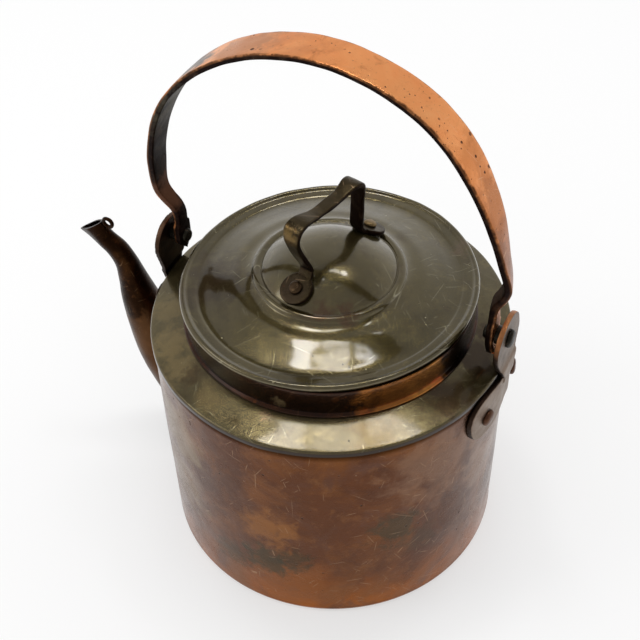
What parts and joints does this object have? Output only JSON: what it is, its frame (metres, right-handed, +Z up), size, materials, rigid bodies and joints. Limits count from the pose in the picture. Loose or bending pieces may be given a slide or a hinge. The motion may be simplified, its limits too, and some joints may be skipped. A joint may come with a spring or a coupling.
{
  "type": "tea kettle",
  "caption": "Old copper tea kettle: straight round body, short neck, curved spout, strap bail on riveted ears, and a lift-off domed lid with a strap handle.",
  "frame": {"origin": "middle of the flat underside", "axes": "+Z up through the middle of the lid, -X towards the spout, the bail's pins along X"},
  "size_m": [0.2866, 0.2108, 0.3352],
  "materials": {
    "copper": "worn satin",
    "bright_copper": "worn satin",
    "dark_copper": "tarnished",
    "patina": "olive tarnish",
    "tin": "dull"
  },
  "bodies": {
    "kettle": {"base": "copper", "wall": "copper", "shoulder": "patina", "neck_collar": "dark_copper", "spout": "dark_copper", "spout_eye": "dark_copper", "ear_rear": "dark_copper", "bail_pin_rear": "dark_copper", "bail_spacer_rear": "tin", "ear_rivet_rear_left": "dark_copper", "ear_rivet_rear_right": "dark_copper", "ear_front": "dark_copper", "bail_pin_front": "dark_copper", "bail_spacer_front": "tin", "ear_rivet_front_left": "dark_copper", "ear_rivet_front_right": "dark_copper"},
    "bail": {"bail": "bright_copper"},
    "lid": {"lid_disc": "patina", "lid_rim_wire": "tin", "lid_flange": "tin", "lid_handle": "patina", "lid_rivet_near": "dark_copper", "lid_rivet_far": "dark_copper"}
  },
  "joints": [
    {"name": "bail_swing", "type": "hinge", "parent": "kettle", "child": "bail", "pos_m": [0, 0, 0.183], "axis": [1, 0, 0], "range_deg": [-115, 115]},
    {"name": "lid_lift", "type": "slide", "parent": "kettle", "child": "lid", "axis": [0, 0, 1], "range_m": [0, 0.07]}
  ]
}
